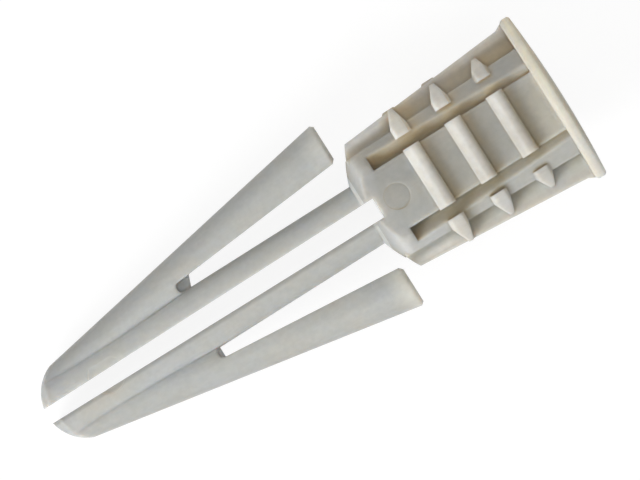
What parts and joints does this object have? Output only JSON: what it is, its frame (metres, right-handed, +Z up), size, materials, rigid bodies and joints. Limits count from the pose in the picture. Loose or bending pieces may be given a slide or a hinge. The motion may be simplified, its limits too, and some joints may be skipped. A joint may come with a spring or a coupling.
{
  "type": "plasterboard plug",
  "caption": "Moulded plastic wall plug with a domed flange head, a tapered barbed body, split legs and swept-back arrow wings that lock behind a plasterboard panel.",
  "frame": {"origin": "centre of the plug's bounding box in X and Y, on the surface it lies on", "axes": "+X from the leg tips toward the head, +Y across the two wings, +Z up; the plug's own axis rises 6.7 degrees toward the head because it lies on its two tips and the edge of its head"},
  "size_m": [0.0392, 0.0136, 0.012],
  "materials": {
    "plug_plastic": "satin moulded nylon, warm light grey"
  },
  "bodies": {
    "root": {"plasterboard_plug": "plug_plastic"}
  },
  "joints": []
}
